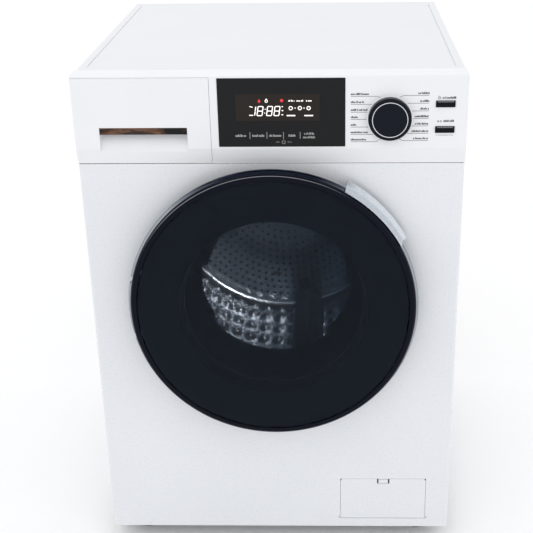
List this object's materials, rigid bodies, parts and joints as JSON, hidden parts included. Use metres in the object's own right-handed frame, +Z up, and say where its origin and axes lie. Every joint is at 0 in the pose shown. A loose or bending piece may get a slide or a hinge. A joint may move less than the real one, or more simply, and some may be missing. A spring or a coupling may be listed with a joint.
{
  "type": "front loading washing machine",
  "caption": "Front-loading washer-dryer with a large round glass door, control panel with a knob and a display, detergent drawer, spring-hung tub and belt-driven drum.",
  "frame": {"origin": "on the floor, at the middle of the footprint of the whole machine with its door closed", "axes": "+Z up, +X to the right seen from the front, +Y from the door to the back"},
  "size_m": [0.595, 0.647, 0.85],
  "materials": {
    "enamel": "white gloss enamel on steel",
    "cover_white": "white moulded worktop",
    "fascia_white": "white satin moulding",
    "inner_plastic": "pale grey filled polypropylene",
    "pale_plastic": "off-white moulding",
    "galvanised": "galvanised sheet",
    "black_plastic": "black moulding",
    "board_green": "lacquered circuit board",
    "display_black": "dark clear window",
    "key_dark": "dark gloss key",
    "knob_dark": "dark blue-black gloss",
    "chrome": "bright plated trim",
    "dark_chrome": "black chrome strip",
    "door_dark": "dark gloss rim",
    "cover_glass": "smoked outer disc",
    "bowl_glass": "clear pressed glass",
    "steel": "stainless steel",
    "zinc": "zinc plated steel",
    "alloy": "die-cast alloy",
    "grey_rubber": "grey moulded rubber",
    "black_rubber": "black rubber",
    "weight": "cast counterweight",
    "duct_metal": "pressed alloy duct",
    "enamel_plastic": "white moulding",
    "lifter_grey": "light grey moulding"
  },
  "bodies": {
    "cabinet": {"cabinet_shell": "enamel", "front_panel": "enamel", "rear_panel": "galvanised", "base_pan": "inner_plastic", "top_cover": "cover_white", "control_fascia": "fascia_white", "display_lens": "display_black", "control_board": "board_green", "dispenser_housing": "inner_plastic", "door_hinge_bracket": "zinc", "door_lock": "black_plastic", "drain_pump": "inner_plastic", "drain_pipe": "black_rubber", "inlet_valve": "pale_plastic", "mains_gland": "black_plastic", "transit_hole_caps": "pale_plastic", "cabinet_screws": "zinc", "damper_cylinders": "inner_plastic", "door_gasket": "grey_rubber", "suspension_springs": "zinc", "sump_hose": "black_rubber"},
    "door": {"door_outer_ring": "door_dark", "door_trim_ring": "chrome", "door_handle": "chrome", "door_cover_glass": "cover_glass", "door_inner_frame": "black_plastic", "door_bowl": "bowl_glass", "door_hinge_arm": "zinc"},
    "latch": {"latch_hook": "zinc"},
    "drawer": {"drawer_front": "fascia_white", "drawer_handle_trim": "dark_chrome", "drawer_tray": "pale_plastic"},
    "knob": {"programme_knob": "knob_dark", "knob_ring": "chrome"},
    "power_key": {"power_button": "key_dark"},
    "start_key": {"start_button": "key_dark"},
    "flap": {"filter_flap": "enamel_plastic"},
    "filter": {"pump_filter": "pale_plastic"},
    "tub": {"tub_front": "inner_plastic", "tub_rear": "inner_plastic", "counterweight_upper": "weight", "counterweight_lower": "weight", "tub_heater": "steel", "drum_bearings": "steel", "drive_motor": "alloy", "dryer_duct": "duct_metal", "damper_rods": "zinc", "drive_belt": "black_rubber"},
    "drum": {"drum_shell": "steel", "drum_lifters": "lifter_grey", "drum_spider": "alloy", "drum_shaft": "zinc", "drum_pulley": "alloy"},
    "rotor": {"motor_pulley": "zinc"},
    "fan": {"dryer_fan": "alloy"},
    "front_left_foot": {"foot_front_left": "black_plastic"},
    "front_right_foot": {"foot_front_right": "black_plastic"},
    "rear_left_foot": {"foot_rear_left": "black_plastic"},
    "rear_right_foot": {"foot_rear_right": "black_plastic"}
  },
  "joints": [
    {"name": "door_hinge", "type": "hinge", "parent": "cabinet", "child": "door", "pos_m": [-0.2095, -0.3105, 0.481], "axis": [0, 0, -1], "range_deg": [0, 120]},
    {"name": "latch_pivot", "type": "hinge", "parent": "door", "child": "latch", "pos_m": [0.188, -0.2935, 0.481], "axis": [0, 0, 1], "range_deg": [0, 8], "stiffness_Nm_per_rad": 0.8, "springref_deg": -8.59},
    {"name": "drawer_slide", "type": "slide", "parent": "cabinet", "child": "drawer", "axis": [0, -1, 0], "range_m": [0, 0.2]},
    {"name": "knob_turn", "type": "hinge", "parent": "cabinet", "child": "knob", "pos_m": [0.181, -0.2865, 0.784], "axis": [0, -1, 0], "continuous": true},
    {"name": "power_press", "type": "slide", "parent": "cabinet", "child": "power_key", "axis": [0, 1, 0], "range_m": [0, 0.0015], "stiffness_N_per_m": 500, "springref_m": -0.001},
    {"name": "start_press", "type": "slide", "parent": "cabinet", "child": "start_key", "axis": [0, 1, 0], "range_m": [0, 0.0015], "stiffness_N_per_m": 500, "springref_m": -0.001},
    {"name": "flap_hinge", "type": "hinge", "parent": "cabinet", "child": "flap", "pos_m": [0.1825, -0.2753, 0.051], "axis": [1, 0, 0], "range_deg": [0, 95]},
    {"name": "filter_turn", "type": "hinge", "parent": "cabinet", "child": "filter", "pos_m": [0.182, -0.2565, 0.09], "axis": [0, -1, 0], "continuous": true},
    {"name": "tub_suspension", "type": "slide", "parent": "cabinet", "child": "tub", "axis": [0, 0, 1], "range_m": [-0.012, 0.012], "stiffness_N_per_m": 12000, "springref_m": 0.04325, "deforming": ["suspension_springs", "door_gasket", "sump_hose"]},
    {"name": "drum_spin", "type": "hinge", "parent": "tub", "child": "drum", "pos_m": [0, 0.2235, 0.481], "axis": [0, 1, 0], "continuous": true},
    {"name": "motor_spin", "type": "hinge", "parent": "tub", "child": "rotor", "pos_m": [0.07, 0.2835, 0.138], "axis": [0, 1, 0], "continuous": true},
    {"name": "fan_spin", "type": "hinge", "parent": "tub", "child": "fan", "pos_m": [0.21, 0.1155, 0.74], "axis": [0, 0, 1], "continuous": true},
    {"name": "front_left_foot_turn", "type": "hinge", "parent": "cabinet", "child": "front_left_foot", "pos_m": [-0.245, -0.2165, 0.02], "axis": [0, 0, 1], "continuous": true},
    {"name": "front_right_foot_turn", "type": "hinge", "parent": "cabinet", "child": "front_right_foot", "pos_m": [0.245, -0.2165, 0.02], "axis": [0, 0, 1], "continuous": true},
    {"name": "rear_left_foot_turn", "type": "hinge", "parent": "cabinet", "child": "rear_left_foot", "pos_m": [-0.245, 0.2635, 0.02], "axis": [0, 0, 1], "continuous": true},
    {"name": "rear_right_foot_turn", "type": "hinge", "parent": "cabinet", "child": "rear_right_foot", "pos_m": [0.245, 0.2635, 0.02], "axis": [0, 0, 1], "continuous": true}
  ],
  "couplings": [
    {"joint": "motor_spin", "follows": "drum_spin", "ratio": 10.48}
  ]
}
